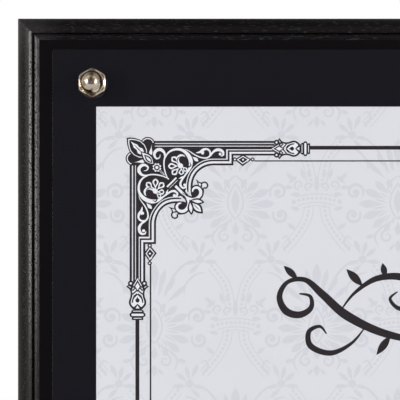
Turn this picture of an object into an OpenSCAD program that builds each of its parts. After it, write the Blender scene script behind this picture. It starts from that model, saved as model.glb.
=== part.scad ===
// Wall plaque for a letter-size certificate: a flat black panel in a mitred moulded rim, with a clear
// cover that four hexagon cap nuts clamp over the sheet. Front faces -Y, wall face lies on y = 0, +Z is up,
// and the origin is the middle of the wall face. All sizes are in millimetres.

/* [Certificate] */
// Width of the certificate sheet
insert_w = 279.4; // [200:0.1:420]
// Height of the certificate sheet
insert_h = 215.9; // [150:0.1:300]
// Thickness of the certificate sheet
insert_t = 0.2; // [0.1:0.05:0.4]
// How far the sheet sits left of the middle
insert_left = 1.1; // [0:0.1:3]
// How far the sheet sits below the middle
insert_down = 1.75; // [0:0.05:1.8]
// Free space in front of the sheet and behind it
insert_play = 0.1; // [0.05:0.01:0.2]

/* [Board] */
// Board beyond the certificate's size on every side
margin = 25.4; // [25:0.1:40]
// Thickness of the board from the wall face to the front face
board_t = 15.9; // [14:0.1:22]

/* [Moulded rails] */
// Width of a rail's face from the outside edge to the panel
rail_w = 7.4; // [6.8:0.1:9]
// Radius of the round bead along the outside
bead_r = 6.25; // [5.4:0.05:7]
// Width of the bead where the groove cuts it off
bead_w = 5.05; // [4:0.05:5.2]
// How far the bead's crest lies behind the front face
crest_drop = 0.15; // [0:0.05:0.6]
// Width of the groove beside the bead
quirk_w = 0.55; // [0.4:0.05:1.2]
// Depth of the groove below the front face
quirk_depth = 1.7; // [1.1:0.1:3]
// How far the slope between groove and panel falls
slope_drop = 0.45; // [0.2:0.05:0.9]
// Bevel along the outside edge of the wall face
back_bevel = 0.6; // [0.2:0.1:1.5]
// How far a rail's tongue reaches into the panel
tongue_w = 3.6; // [2:0.1:4]
// Thickness of the tongue
tongue_t = 4.8; // [3:0.1:6]
// Gap left for glue round the tongue
glue_gap = 0.05; // [0.02:0.01:0.2]

/* [Cover] */
// Thickness of the clear cover
cover_t = 2.4; // [1.5:0.1:4]
// Board left showing beside the cover
cover_inset_x = 11.7; // [10:0.1:14]
// Board left showing above and below the cover
cover_inset_z = 10.7; // [10:0.1:13]
// Radius of the cover's corners
cover_corner_r = 0.8; // [0.3:0.1:4]
// Gap between a cover hole and its stud
cover_hole_gap = 0.3; // [0.1:0.05:0.6]

/* [Studs] */
// Diameter of a stud
stud_d = 4.17; // [3.5:0.01:4.6]
// Distance of a stud from the plaque's left or right edge
stud_inset_x = 23.6; // [21:0.1:25]
// Free space between the sheet's edge and the studs below it
stud_clear = 0.9; // [0.5:0.1:1.2]
// Length of stud inside the nut
stud_grip = 4.6; // [3:0.1:4.8]
// Bevel at the stud's tip
stud_tip_bevel = 0.5; // [0.2:0.1:0.8]
// Width of the square neck under the head
neck_w = 4.4; // [4.2:0.1:5]
// Length of the square neck
neck_l = 2.6; // [1.5:0.1:4]
// Diameter of the stud's head
head_d = 9.6; // [8:0.1:12]
// Thickness of the stud's head
head_t = 2; // [1.2:0.1:3]
// How deep the head sits below the wall face
head_sink = 0.6; // [0.3:0.1:1.5]
// Gap between the panel and a stud or screw in it
hole_fit = 0.05; // [0.02:0.01:0.1]

/* [Cap nuts] */
// Hexagon size across the flats
nut_flats = 7.7; // [7:0.01:9]
// Height of the hexagon
nut_hex_h = 2.9; // [2:0.1:3.2]
// Diameter of the domed top
nut_dome_d = 6.4; // [5.8:0.1:6.8]
// Height of the whole nut
nut_h = 7.1; // [6.7:0.1:9]
// Bevel on the hexagon's corners
nut_bevel = 0.35; // [0.1:0.05:0.6]
// Gap between the nut's bore and the stud
thread_gap = 0.05; // [0.02:0.01:0.1]
// Free space above the stud inside the nut
nut_end_space = 0.5; // [0.2:0.1:0.6]
// Diameter of the washer under the nut
washer_d = 8.5; // [8.2:0.1:12]
// Thickness of the washer
washer_t = 0.5; // [0.3:0.1:1]

/* [Hangers] */
// Length of a keyhole plate
hanger_l = 44; // [40:0.5:52]
// Width of a keyhole plate
hanger_w = 15; // [14.5:0.5:20]
// Thickness of a keyhole plate
hanger_t = 1.2; // [0.8:0.1:2]
// Distance of a plate's middle from the plaque's edge
hanger_inset = 40; // [34:0.5:48]
// Diameter of the keyhole's round entry
entry_d = 9.4; // [9:0.1:10]
// Width of the keyhole's slot
slot_w = 4.6; // [4.4:0.1:5.5]
// Distance from the entry's centre to the slot's end centre
slot_l = 8; // [7:0.1:9]
// Depth of the pocket for the wall screw's head
pocket_depth = 8; // [7:0.1:9]
// Room round the entry inside the pocket
pocket_room = 1.2; // [0.8:0.1:1.6]
// Distance from a plate's end to the centre of its screw
screw_edge = 5; // [4.5:0.1:6]
// Diameter of a hanger screw's shank
screw_d = 2.8; // [2:0.1:3.5]
// Length of a hanger screw
screw_l = 9.5; // [6:0.1:10]
// Diameter of a hanger screw's head
screw_head_d = 5.2; // [4.6:0.1:6]
// Gap round a plate in its recess, and round its screws
hanger_fit = 0.1; // [0.05:0.01:0.3]

/* [Hidden] */
$fn = 48;
arc_steps = 12;
overrun = 1;

board_w = insert_w + 2 * margin;
board_h = insert_h + 2 * margin;
panel_w = board_w - 2 * rail_w;
panel_h = board_h - 2 * rail_w;
bead_foot = board_t - crest_drop - bead_r;
groove_floor = board_t - quirk_depth;
slope_foot = board_t - slope_drop;
tongue_base = (bead_foot - tongue_t) / 2;

stud_x = board_w / 2 - stud_inset_x;
stud_z = insert_h / 2 + insert_down + stud_clear + stud_d / 2;
cover_w = board_w - 2 * cover_inset_x;
cover_h = board_h - 2 * cover_inset_z;
insert_base = board_t + insert_play;
cover_base = insert_base + insert_t + insert_play;
washer_base = cover_base + cover_t;
nut_base = washer_base + washer_t;
stud_tip = nut_base + stud_grip;
neck_top = head_sink + head_t + neck_l;
nut_bore_depth = stud_grip + nut_end_space;
nut_corners = nut_flats / cos(30);

entry_drop = slot_l / 2;
pocket_r = entry_d / 2 + pocket_room;
screw_y = hanger_l / 2 - screw_edge;
screw_sink = (screw_head_d - screw_d) / 2;
hanger_top_z = board_h / 2 - hanger_inset;
hanger_side_x = board_w / 2 - hanger_inset;

board_black = "#1b191d";
rail_black = "#201e21";
clear_acrylic = "#aab4c855";
paper_grey = "#d9dae0";
nickel = "#b8ab98";
nylon = "#8c93a0";
zinc_grey = "#a9abac";

// Turns a plan drawn in x and z, with its height towards the viewer, into the plaque's frame
module facing_front(height = 0) {
    rotate([90, 0, 0])
        translate([0, 0, height])
            children();
}

// Flat plate with round corners, centred on its plan
module rounded_plate(w, h, t, r) {
    linear_extrude(t) {
        square([w - 2 * r, h], center = true);
        square([w, h - 2 * r], center = true);
        for (x = [-1, 1], y = [-1, 1])
            translate([x * (w / 2 - r), y * (h / 2 - r)])
                circle(r);
    }
}

// Flat plate with half-round ends, standing upright in its plan
module round_ended_plate(w, l, t) {
    linear_extrude(t) {
        square([w, l - w], center = true);
        for (end = [-1, 1])
            translate([0, end * (l - w) / 2])
                circle(w / 2);
    }
}

// Places a child at one of the four studs; side_x and side_z are -1 or 1
module at_stud(side_x, side_z) {
    translate([side_x * stud_x, side_z * stud_z, 0])
        children();
}

// Section of a rail: distance in from the outside edge, and height above the wall face
function rail_section() = concat(
    [[0, back_bevel]],
    [for (i = [0 : arc_steps])
        let (reach = acos(1 - bead_w / bead_r), turn = reach * i / arc_steps)
        [bead_r * (1 - cos(turn)), bead_foot + bead_r * sin(turn)]],
    [
        [bead_w, groove_floor],
        [bead_w + quirk_w, groove_floor],
        [bead_w + quirk_w, slope_foot],
        [rail_w, board_t],
        [rail_w, tongue_base + tongue_t],
        [rail_w + tongue_w, tongue_base + tongue_t],
        [rail_w + tongue_w, tongue_base],
        [rail_w, tongue_base],
        [rail_w, 0],
        [back_bevel, 0]
    ]
);

// Rail along the top of a plaque that is length wide and rise tall, mitred at both ends
module rail(length, rise) {
    inner = rail_w + tongue_w;
    intersection() {
        translate([-length / 2, rise / 2, 0])
            rotate([90, 0, 90])
                linear_extrude(length)
                    mirror([1, 0])
                        polygon(rail_section());
        translate([0, rise / 2, -overrun])
            linear_extrude(board_t + 2 * overrun)
                polygon([
                    [-length / 2, 0],
                    [length / 2, 0],
                    [length / 2 - inner, -inner],
                    [inner - length / 2, -inner]
                ]);
    }
}

module rail_top() {
    color(rail_black)
        facing_front()
            rail(board_w, board_h);
}

module rail_bottom() {
    color(rail_black)
        facing_front()
            rotate([0, 0, 180])
                rail(board_w, board_h);
}

module rail_left() {
    color(rail_black)
        facing_front()
            rotate([0, 0, 90])
                rail(board_h, board_w);
}

module rail_right() {
    color(rail_black)
        facing_front()
            rotate([0, 0, -90])
                rail(board_h, board_w);
}

// Groove round the panel's edge that takes the rails' tongues
module tongue_groove() {
    depth = tongue_w + glue_gap;
    translate([0, 0, tongue_base - glue_gap])
        linear_extrude(tongue_t + 2 * glue_gap)
            difference() {
                square([panel_w + 2 * overrun, panel_h + 2 * overrun], center = true);
                square([panel_w - 2 * depth, panel_h - 2 * depth], center = true);
            }
}

// Hole, square seat and head recess for one stud, from the wall face up
module stud_hole() {
    translate([0, 0, -overrun])
        cylinder(h = board_t + 2 * overrun, d = stud_d + 2 * hole_fit);
    translate([0, 0, -overrun])
        linear_extrude(neck_top + overrun)
            square(neck_w + 2 * hole_fit, center = true);
    translate([0, 0, -overrun])
        cylinder(h = head_sink + head_t + overrun, d = head_d + 2 * hanger_fit);
}

// Recess for a keyhole plate, the deep pocket behind its keyhole, and its screws' pilot holes
module hanger_recess() {
    translate([0, 0, -overrun])
        round_ended_plate(
            hanger_w + 2 * hanger_fit, hanger_l + 2 * hanger_fit,
            hanger_t + hanger_fit + overrun
        );
    translate([0, 0, -overrun])
        round_ended_plate(2 * pocket_r, slot_l + 2 * pocket_r, pocket_depth + overrun);
    for (end = [-1, 1])
        translate([0, end * screw_y, -overrun])
            cylinder(h = screw_l + hanger_fit + overrun, d = screw_d + 2 * hole_fit);
}

module panel() {
    color(board_black)
        facing_front()
            difference() {
                translate([-panel_w / 2, -panel_h / 2, 0])
                    cube([panel_w, panel_h, board_t]);
                tongue_groove();
                for (x = [-1, 1], z = [-1, 1])
                    at_stud(x, z)
                        stud_hole();
                at_hanger_top()
                    hanger_recess();
                at_hanger_side()
                    hanger_recess();
            }
}

module at_hanger_top() {
    translate([0, hanger_top_z, 0])
        children();
}

// The side plate hangs the plaque upright, so its slot points to the plaque's right edge
module at_hanger_side() {
    translate([hanger_side_x, 0, 0])
        rotate([0, 0, -90])
            children();
}

module insert() {
    color(paper_grey)
        facing_front(insert_base)
            translate([-insert_w / 2 - insert_left, -insert_h / 2 - insert_down, 0])
                cube([insert_w, insert_h, insert_t]);
}

module cover() {
    color(clear_acrylic)
        facing_front(cover_base)
            difference() {
                rounded_plate(cover_w, cover_h, cover_t, cover_corner_r);
                for (x = [-1, 1], z = [-1, 1])
                    at_stud(x, z)
                        translate([0, 0, -overrun])
                            cylinder(h = cover_t + 2 * overrun, d = stud_d + 2 * cover_hole_gap);
            }
}

// Square-neck screw: low round head in the wall face, square neck, plain shank for the thread
module stud(side_x, side_z) {
    shank_base = head_sink + head_t;
    color(zinc_grey)
        facing_front()
            at_stud(side_x, side_z) {
                rotate_extrude()
                    polygon([
                        [0, head_sink],
                        [head_d / 2 - head_t / 2, head_sink],
                        [head_d / 2, head_sink + head_t / 2],
                        [head_d / 2, shank_base],
                        [stud_d / 2, shank_base],
                        [stud_d / 2, stud_tip - stud_tip_bevel],
                        [stud_d / 2 - stud_tip_bevel, stud_tip],
                        [0, stud_tip]
                    ]);
                translate([0, 0, shank_base])
                    linear_extrude(neck_l)
                        square(neck_w, center = true);
            }
}

module washer(side_x, side_z) {
    color(nylon)
        facing_front(washer_base)
            at_stud(side_x, side_z)
                difference() {
                    cylinder(h = washer_t, d = washer_d);
                    translate([0, 0, -overrun])
                        cylinder(h = washer_t + 2 * overrun, d = stud_d + 2 * cover_hole_gap);
                }
}

// Round outline that a turned hexagon blank keeps: bevelled corners above and below, then the dome
module turned_blank() {
    corner_r = nut_corners / 2;
    dome_r = nut_dome_d / 2;
    dome_base = nut_h - dome_r;
    rotate_extrude()
        polygon(concat(
            [
                [0, 0],
                [nut_flats / 2, 0],
                [corner_r, nut_bevel],
                [corner_r, nut_hex_h - nut_bevel],
                [nut_flats / 2, nut_hex_h],
                [dome_r, nut_hex_h]
            ],
            [for (i = [0 : arc_steps])
                let (turn = 90 * i / arc_steps)
                [dome_r * cos(turn), dome_base + dome_r * sin(turn)]]
        ));
}

module cap_nut(side_x, side_z) {
    color(nickel)
        facing_front(nut_base)
            at_stud(side_x, side_z)
                difference() {
                    intersection() {
                        turned_blank();
                        rotate([0, 0, 30])
                            cylinder(h = nut_h, d = nut_corners, $fn = 6);
                    }
                    translate([0, 0, -overrun])
                        cylinder(h = nut_bore_depth + overrun, d = stud_d + 2 * thread_gap);
                }
}

// Stamped plate, flush with the wall face, with a keyhole whose slot points up its plan
module keyhole_plate() {
    difference() {
        round_ended_plate(hanger_w, hanger_l, hanger_t);
        translate([0, 0, -overrun])
            linear_extrude(hanger_t + 2 * overrun) {
                translate([0, -entry_drop])
                    circle(d = entry_d);
                translate([0, entry_drop])
                    circle(d = slot_w);
                square([slot_w, slot_l], center = true);
            }
        for (end = [-1, 1])
            translate([0, end * screw_y, 0])
                rotate_extrude()
                    polygon([
                        [0, -overrun],
                        [screw_head_d / 2 + hanger_fit + overrun, -overrun],
                        [screw_d / 2 + hanger_fit, screw_sink],
                        [screw_d / 2 + hanger_fit, hanger_t + overrun],
                        [0, hanger_t + overrun]
                    ]);
    }
}

// The two countersunk screws of one keyhole plate, heads flush with the wall face
module plate_screws() {
    for (end = [-1, 1])
        translate([0, end * screw_y, 0])
            rotate_extrude()
                polygon([
                    [0, 0],
                    [screw_head_d / 2, 0],
                    [screw_d / 2, screw_sink],
                    [screw_d / 2, screw_l - screw_d / 2],
                    [0, screw_l]
                ]);
}

module hanger_top() {
    color(zinc_grey)
        facing_front()
            at_hanger_top()
                keyhole_plate();
}

module hanger_side() {
    color(zinc_grey)
        facing_front()
            at_hanger_side()
                keyhole_plate();
}

module hanger_screws() {
    color(zinc_grey)
        facing_front() {
            at_hanger_top()
                plate_screws();
            at_hanger_side()
                plate_screws();
        }
}

panel();
rail_top();
rail_bottom();
rail_left();
rail_right();
cover();
insert();
stud(-1, 1);  // stud_top_left
stud(1, 1);  // stud_top_right
stud(-1, -1);  // stud_bottom_left
stud(1, -1);  // stud_bottom_right
washer(-1, 1);  // washer_top_left
washer(1, 1);  // washer_top_right
washer(-1, -1);  // washer_bottom_left
washer(1, -1);  // washer_bottom_right
cap_nut(-1, 1);  // nut_top_left
cap_nut(1, 1);  // nut_top_right
cap_nut(-1, -1);  // nut_bottom_left
cap_nut(1, -1);  // nut_bottom_right
hanger_top();
hanger_side();
hanger_screws();
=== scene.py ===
"""Award plaque frame: the looks of a black wall plaque with a clear cover over a printed certificate.

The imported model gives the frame, in metres: -Y faces the viewer, +Z is up, and the wall face lies on y = 0.
Each section is one piece or a group of like pieces, in the order in which the plaque is put together.
"""

import math

import bmesh
import bpy
from mathutils import Matrix, Vector


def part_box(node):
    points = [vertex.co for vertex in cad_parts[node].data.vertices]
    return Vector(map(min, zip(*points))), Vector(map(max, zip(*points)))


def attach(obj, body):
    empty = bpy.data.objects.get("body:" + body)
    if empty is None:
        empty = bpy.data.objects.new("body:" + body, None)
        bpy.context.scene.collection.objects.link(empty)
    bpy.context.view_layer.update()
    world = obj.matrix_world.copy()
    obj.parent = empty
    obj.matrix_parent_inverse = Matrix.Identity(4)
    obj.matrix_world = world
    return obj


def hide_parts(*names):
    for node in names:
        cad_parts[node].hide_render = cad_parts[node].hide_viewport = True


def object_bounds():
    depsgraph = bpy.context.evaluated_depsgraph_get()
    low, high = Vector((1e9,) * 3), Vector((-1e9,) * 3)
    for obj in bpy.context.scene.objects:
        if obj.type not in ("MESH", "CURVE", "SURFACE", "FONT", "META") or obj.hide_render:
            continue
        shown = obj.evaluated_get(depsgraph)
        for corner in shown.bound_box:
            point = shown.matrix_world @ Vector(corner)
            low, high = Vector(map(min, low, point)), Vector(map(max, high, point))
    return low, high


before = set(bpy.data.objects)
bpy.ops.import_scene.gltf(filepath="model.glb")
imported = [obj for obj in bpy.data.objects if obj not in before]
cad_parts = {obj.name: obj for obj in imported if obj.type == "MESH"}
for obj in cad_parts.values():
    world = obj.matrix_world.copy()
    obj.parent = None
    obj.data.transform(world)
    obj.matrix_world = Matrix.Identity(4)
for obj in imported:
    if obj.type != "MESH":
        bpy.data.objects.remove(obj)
cad_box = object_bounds()

# Panel
# The flat middle of the board: medium fibreboard under a matte black film. It stays the frame's own solid.
# Holes and pockets are cut after the film is on, so raw brown board shows inside them.
MM = 0.001
BOARD_THICK = 15.9
FILM_THICK = 0.12


def linear(red, green, blue):
    """A colour as a screen shows it, 0 to 255, turned into the renderer's linear colour."""
    channels = [value / 255 for value in (red, green, blue)]
    return (*[v / 12.92 if v <= 0.04045 else ((v + 0.055) / 1.055) ** 2.4 for v in channels], 1.0)


class Wire:
    """A socket in a node tree. Sums on it place Math nodes, and node() places any other node."""

    def __init__(self, tree, socket=None):
        self.tree = tree
        self.socket = socket

    def node(self, kind, settings=None, sockets=None, out=0):
        """A new node's output; a socket takes a wire, a list of wires or a plain value."""
        placed = self.tree.nodes.new(kind)
        for name, value in (settings or {}).items():
            setattr(placed, name, value)
        for name, value in (sockets or {}).items():
            for given in value if isinstance(value, list) else [value]:
                if isinstance(given, Wire):
                    self.tree.links.new(given.socket, placed.inputs[name])
                else:
                    placed.inputs[name].default_value = given
        return Wire(self.tree, placed.outputs[out] if placed.outputs else None)

    def other(self, name):
        """Another output of the node that this socket belongs to."""
        return Wire(self.tree, self.socket.node.outputs[name])

    def maths(self, operation, *values):
        return self.node("ShaderNodeMath", {"operation": operation}, dict(enumerate(values)))

    def __add__(self, other):
        return self.maths("ADD", self, other)

    def __sub__(self, other):
        return self.maths("SUBTRACT", self, other)

    def __rsub__(self, other):
        return self.maths("SUBTRACT", other, self)

    def __mul__(self, other):
        return self.maths("MULTIPLY", self, other)

    def __truediv__(self, other):
        return self.maths("DIVIDE", self, other)

    def __rtruediv__(self, other):
        return self.maths("DIVIDE", other, self)

    def __gt__(self, other):
        return self.maths("GREATER_THAN", self, other)

    def __lt__(self, other):
        return self.maths("LESS_THAN", self, other)

    __radd__ = __add__
    __rmul__ = __mul__

    def size(self):
        """The value without its sign."""
        return self.maths("ABSOLUTE", self)

    def greater(self, other):
        """The greater of the two values."""
        return self.maths("MAXIMUM", self, other)

    def clipped(self):
        return self.node("ShaderNodeClamp", {}, {0: self})

    def mixed(self, low, high):
        """The colour low where this value is 0, and high where it is 1."""
        return self.node("ShaderNodeMix", {"data_type": "RGBA"}, {0: self, 6: low, 7: high}, out=2)

    def scaled(self, factor):
        """This vector times a number."""
        return self.node("ShaderNodeVectorMath", {"operation": "SCALE"}, {0: self, "Scale": factor})

    def parts(self):
        """The x, y and z of this vector."""
        split = self.node("ShaderNodeSeparateXYZ", {}, {0: self})
        return [split.other(axis) for axis in "XYZ"]

    def noise(self, size, detail=3.0, stretch=(1.0, 1.0, 1.0)):
        """Noise at this place, with grains size millimetres wide, made longer along each axis by stretch."""
        stretched = self.node("ShaderNodeMapping", {}, {
            "Vector": self, "Scale": tuple(1 / (size * longer) for longer in stretch),
        })
        return self.node("ShaderNodeTexNoise", {}, {"Vector": stretched, "Scale": 1.0, "Detail": detail})

    def bumps(self, strength, depth):
        """A surface that this value raises, depth millimetres high where it is 1."""
        return self.node("ShaderNodeBump", {}, {"Strength": strength, "Distance": depth * MM, "Height": self})


def new_finish(name):
    """A new material, and the place of its points in the frame, in millimetres."""
    material = bpy.data.materials.new(name)
    material.use_nodes = True
    material.node_tree.nodes.clear()
    return material, Wire(material.node_tree).node("ShaderNodeTexCoord", out="Object").scaled(1 / MM)


def finished(material, sockets):
    """The material, once its shader has these values."""
    wire = Wire(material.node_tree)
    shader = wire.node("ShaderNodeBsdfPrincipled", {}, sockets)
    wire.node("ShaderNodeOutputMaterial", {}, {"Surface": shader})
    return material


def wear(node, material):
    """Gives a solid of the frame its material."""
    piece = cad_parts[node]
    for slot in piece.material_slots:
        slot.material = material
    if not piece.material_slots:
        piece.data.materials.append(material)


def board_black():
    material, place = new_finish("board_black")
    _, y, _ = place.parts()
    cut = ((y > FILM_THICK - BOARD_THICK) * (y < -FILM_THICK)).clipped()
    fibre = place.noise(0.35, 4.0)
    haze = place.noise(40.0, 2.0)
    grain = place.noise(0.18, 2.0)
    black = (haze * 0.6 + fibre * 0.4).clipped().mixed(linear(8, 6, 8), linear(12, 10, 12))
    raw = fibre.mixed(linear(92, 66, 44), linear(150, 116, 82))
    return finished(material, {
        "Base Color": cut.mixed(black, raw),
        "Roughness": (cut * 0.3 + fibre * 0.1 + 0.5).clipped(),
        "Specular IOR Level": 0.04,
        "Normal": (grain + cut * fibre).bumps(0.12, 0.02),
    })


wear("panel", board_black())

# Rails
# Four wooden rails under satin black lacquer, mitred at the corners and glued to the panel by a tongue.
# The cutter leaves a round bead, a narrow groove and a small slope, and the open grain shows through.
RAIL_WIDTH = 7.4
BEAD_RADIUS = 6.25
BEAD_WIDTH = 5.22
BEAD_FOOT = 9.5
GROOVE_WIDTH = 0.52
GROOVE_FLOOR = 14.2
SLOPE_FOOT = 15.45
SLOPE_RISE = ((0.95, 15.69), (1.72, 15.85))
BROKEN_EDGE = 0.13
BACK_BEVEL = 0.6
TONGUE_LENGTH = 3.6
TONGUE_LOW = 2.35
TONGUE_HIGH = 7.15
CORNER_WEAR = 1.0


def plan(x, z, height):
    """A place in the plaque's plan, in millimetres, with its height above the wall face."""
    return Vector((x, -height, z)) * MM


def in_scene(name, data):
    """A new object of the scene with this data."""
    made = bpy.data.objects.new(name, data)
    bpy.context.scene.collection.objects.link(made)
    return made


def sealed(mesh, reach):
    """Merges the mesh's points within reach millimetres and turns its faces outwards."""
    shape = bmesh.new()
    shape.from_mesh(mesh)
    bmesh.ops.remove_doubles(shape, verts=shape.verts, dist=reach * MM)
    bmesh.ops.recalc_face_normals(shape, faces=shape.faces)
    shape.to_mesh(mesh)
    shape.free()


def smoothed(name, mesh, material, sharp_over):
    """An object of this mesh in this material; edges over sharp_over degrees stay sharp."""
    mesh.materials.clear()
    mesh.materials.append(material)
    mesh.shade_smooth()
    mesh.set_sharp_from_angle(angle=math.radians(sharp_over))
    return in_scene(name, mesh)


def skin(rows, around):
    """Faces between rows of points that run round a body, with a cap at each end."""
    faces = [tuple(range(around)), tuple(range((rows - 1) * around, rows * around))]
    for start in range(0, (rows - 1) * around, around):
        for k in range(around):
            after = (k + 1) % around
            faces.append((start + k, start + after, start + around + after, start + around + k))
    return faces


def make_piece(name, points, faces, material, sharp_over):
    """A closed body from plan points."""
    mesh = bpy.data.meshes.new(name)
    mesh.from_pydata([plan(*point) for point in points], [], faces)
    sealed(mesh, 1e-4)
    return smoothed(name, mesh, material, sharp_over)


def rail_section():
    """The rail's outline as it is cut: distance in from the outside edge, and height."""
    ease = BROKEN_EDGE
    reach = math.acos(1 - (BEAD_WIDTH - ease) / BEAD_RADIUS)
    bead = [(BEAD_RADIUS * (1 - math.cos(turn)), BEAD_FOOT + BEAD_RADIUS * math.sin(turn))
            for turn in (reach * i / 24 for i in range(25))]
    groove_end = BEAD_WIDTH + GROOVE_WIDTH
    return [(0, BACK_BEVEL), (0, BEAD_FOOT - 4)] + bead + [
        (BEAD_WIDTH - ease / 3, bead[-1][1] - ease / 3),
        (BEAD_WIDTH, bead[-1][1] - ease),
        (BEAD_WIDTH, GROOVE_FLOOR + ease),
        (BEAD_WIDTH + ease, GROOVE_FLOOR),
        (groove_end - ease, GROOVE_FLOOR),
        (groove_end, GROOVE_FLOOR + ease),
        (groove_end, SLOPE_FOOT - 2 * ease),
        (groove_end + ease, SLOPE_FOOT - ease),
        (groove_end + 2 * ease, SLOPE_FOOT),
    ] + [(groove_end + inward, height) for inward, height in SLOPE_RISE] + [
        (RAIL_WIDTH, BOARD_THICK),
        (RAIL_WIDTH, TONGUE_HIGH),
        (RAIL_WIDTH + TONGUE_LENGTH, TONGUE_HIGH),
        (RAIL_WIDTH + TONGUE_LENGTH, TONGUE_LOW),
        (RAIL_WIDTH, TONGUE_LOW),
        (RAIL_WIDTH, 0),
        (BACK_BEVEL, 0),
    ]


def make_rail(name, length, reach, quarter, material):
    """A rail of the given outer length, reach from the middle, turned by quarters from the top."""
    section = rail_section()
    turns = [math.radians(45 * i / 6) for i in range(7)]
    rows = []
    for end, order in ((-1, reversed(turns)), (1, turns)):
        for turn in order:
            worn = CORNER_WEAR * (1 - math.cos(turn))
            along = length / 2 - CORNER_WEAR * (1 - math.sin(turn))
            row = []
            for inward, height in section:
                inward = max(inward, worn)
                row.append((end * min(along, length / 2 - inward), reach - inward, height))
            rows.append(row)
    angle = -math.pi / 2 * quarter
    cos, sin = round(math.cos(angle)), round(math.sin(angle))
    points = [(x * cos - z * sin, x * sin + z * cos, height) for row in rows for x, z, height in row]
    return make_piece(name, points, skin(len(rows), len(section)), material, sharp_over=5)


def rail_black(name, along, streak, pore):
    """Satin lacquer over grain along axis 0 or 2; streak and pore say how much longer than wide they are."""
    material, place = new_finish(name)
    x, _, z = place.parts()

    def with_grain(longer):
        return tuple(longer if axis == along else 1.0 for axis in range(3))

    streaks = place.noise(0.42, 5.0, with_grain(streak))
    pits = ((place.noise(0.42, 2.0, with_grain(pore)) - 0.58) * 9.0).clipped()
    tone = (streaks * 0.7 + place.noise(9.0, 2.0) * 0.3).clipped()
    black = tone.mixed(linear(8, 7, 8), linear(17, 15, 16))
    dusty = pits.mixed(black, linear(40, 38, 38))
    from_side = BOARD_WIDTH / 2 - x.size()
    from_top = BOARD_HEIGHT / 2 - z.size()
    near_corner = (1.0 - from_side.greater(from_top) * 0.07).clipped()
    return finished(material, {
        "Base Color": (near_corner * place.noise(1.1, 4.0) * 1.5).clipped().mixed(dusty, linear(56, 53, 56)),
        "Roughness": (tone * 0.10 + pits * 0.25 + 0.19).clipped(),
        "Specular IOR Level": 0.22,
        "Normal": (streaks * 0.5 - pits * 1.1).bumps(0.7, 0.05),
    })


board_low, board_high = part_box("panel")
BOARD_WIDTH = (board_high.x - board_low.x) / MM + 2 * RAIL_WIDTH
BOARD_HEIGHT = (board_high.z - board_low.z) / MM + 2 * RAIL_WIDTH
level_grain = rail_black("rail_black_level", 0, 26.0, 5.0)
upright_grain = rail_black("rail_black_upright", 2, 7.0, 1.7)
for quarter, side in enumerate(("top", "right", "bottom", "left")):
    level = quarter % 2 == 0
    length, reach = (BOARD_WIDTH, BOARD_HEIGHT / 2) if level else (BOARD_HEIGHT, BOARD_WIDTH / 2)
    rail = make_rail(f"moulded_rail_{side}", length, reach, quarter, level_grain if level else upright_grain)
    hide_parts(f"rail_{side}")
    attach(rail, "board")

# Keyhole plates
# Two stamped steel plates, zinc plated, let into the wall face: one for hanging sideways, one for upright.
# They stay the frame's own solids.
def plated_steel():
    material, place = new_finish("plated_steel")
    spangle = place.node("ShaderNodeTexVoronoi", {}, {"Vector": place, "Scale": 0.9})
    smear = place.noise(2.4, 4.0, (1.0, 1.0, 5.0))
    scratches = place.noise(0.16, 2.0, (14.0, 1.0, 1.0))
    tone = (spangle * 0.35 + smear * 0.5).clipped()
    return finished(material, {
        "Base Color": tone.mixed(linear(150, 152, 154), linear(206, 208, 207)),
        "Metallic": 1.0,
        "Roughness": (smear * 0.2 + scratches * 0.12 + 0.22).clipped(),
        "Normal": scratches.bumps(0.2, 0.01),
    })


zinc = plated_steel()
for plate in ("hanger_top", "hanger_side"):
    wear(plate, zinc)

# Keyhole plate screws
# Four countersunk wood screws of the same plated steel, two to a plate, with a cross recess in each head.
# One screw is made, and the tree sets it at the four places and turns each a different way.
SCREW_HEAD = 5.2
SCREW_SHANK = 2.8
SCREW_LENGTH = 9.5
SCREW_EDGE = 5.0
SCREW_PITCH = 1.1
RECESS_WING = 1.35
RECESS_HUB = 0.30
RECESS_DEPTH = 1.0
POINTED = 0.02


def at_angle(value, angle):
    """A number as it is, and a function of the angle at this angle."""
    return value(angle) if callable(value) else value


def revolved(levels, sides, x=0, z=0, base=0, first=0):
    """Points and faces round a post at x, z; a level's height over base and reach may go by the angle."""
    points = []
    for height, reach in levels:
        for k in range(sides):
            angle = 2 * math.pi * (k + first) / sides
            far, rise = at_angle(reach, angle), at_angle(height, angle)
            points.append((x + far * math.cos(angle), z + far * math.sin(angle), base + rise))
    return points, skin(len(levels), sides)


def off_quarter(angle):
    """How far an angle lies from the nearest quarter turn."""
    return (angle + math.pi / 4) % (math.pi / 2) - math.pi / 4


def cross_screw(material):
    """A countersunk screw with its head at height 0 and its point at the greatest height."""
    head_depth = (SCREW_HEAD - SCREW_SHANK) / 2

    def recess(angle):
        """How far the cross recess reaches in this direction."""
        return min(RECESS_WING, RECESS_HUB / max(abs(math.sin(off_quarter(angle))), 1e-3))

    levels = [
        (RECESS_DEPTH, lambda a: 0.12 * recess(a)),
        (RECESS_DEPTH * 0.75, lambda a: 0.82 * recess(a)),
        (0.05, recess),
        (0.0, lambda a: recess(a) + 0.07),
        (0.0, SCREW_HEAD / 2 - 0.12),
        (0.06, SCREW_HEAD / 2 - 0.02),
        (head_depth, SCREW_SHANK / 2),
    ]
    row_step = SCREW_PITCH / 5
    for i in range(int((SCREW_LENGTH - head_depth - 0.9) / row_step)):
        height = head_depth + 0.3 + i * row_step
        taper = min(1.0, (SCREW_LENGTH - height) / (1.6 * SCREW_SHANK))

        def thread(a, h=height, t=taper):
            wave = abs(2 * ((h / SCREW_PITCH - a / (2 * math.pi)) % 1) - 1)
            return SCREW_SHANK / 2 * t * (0.76 + 0.24 * wave)

        levels.append((height, thread))
    levels.append((SCREW_LENGTH - 0.05, POINTED))
    return make_piece("one_cross_screw", *revolved(levels, 48), material, sharp_over=30)


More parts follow.
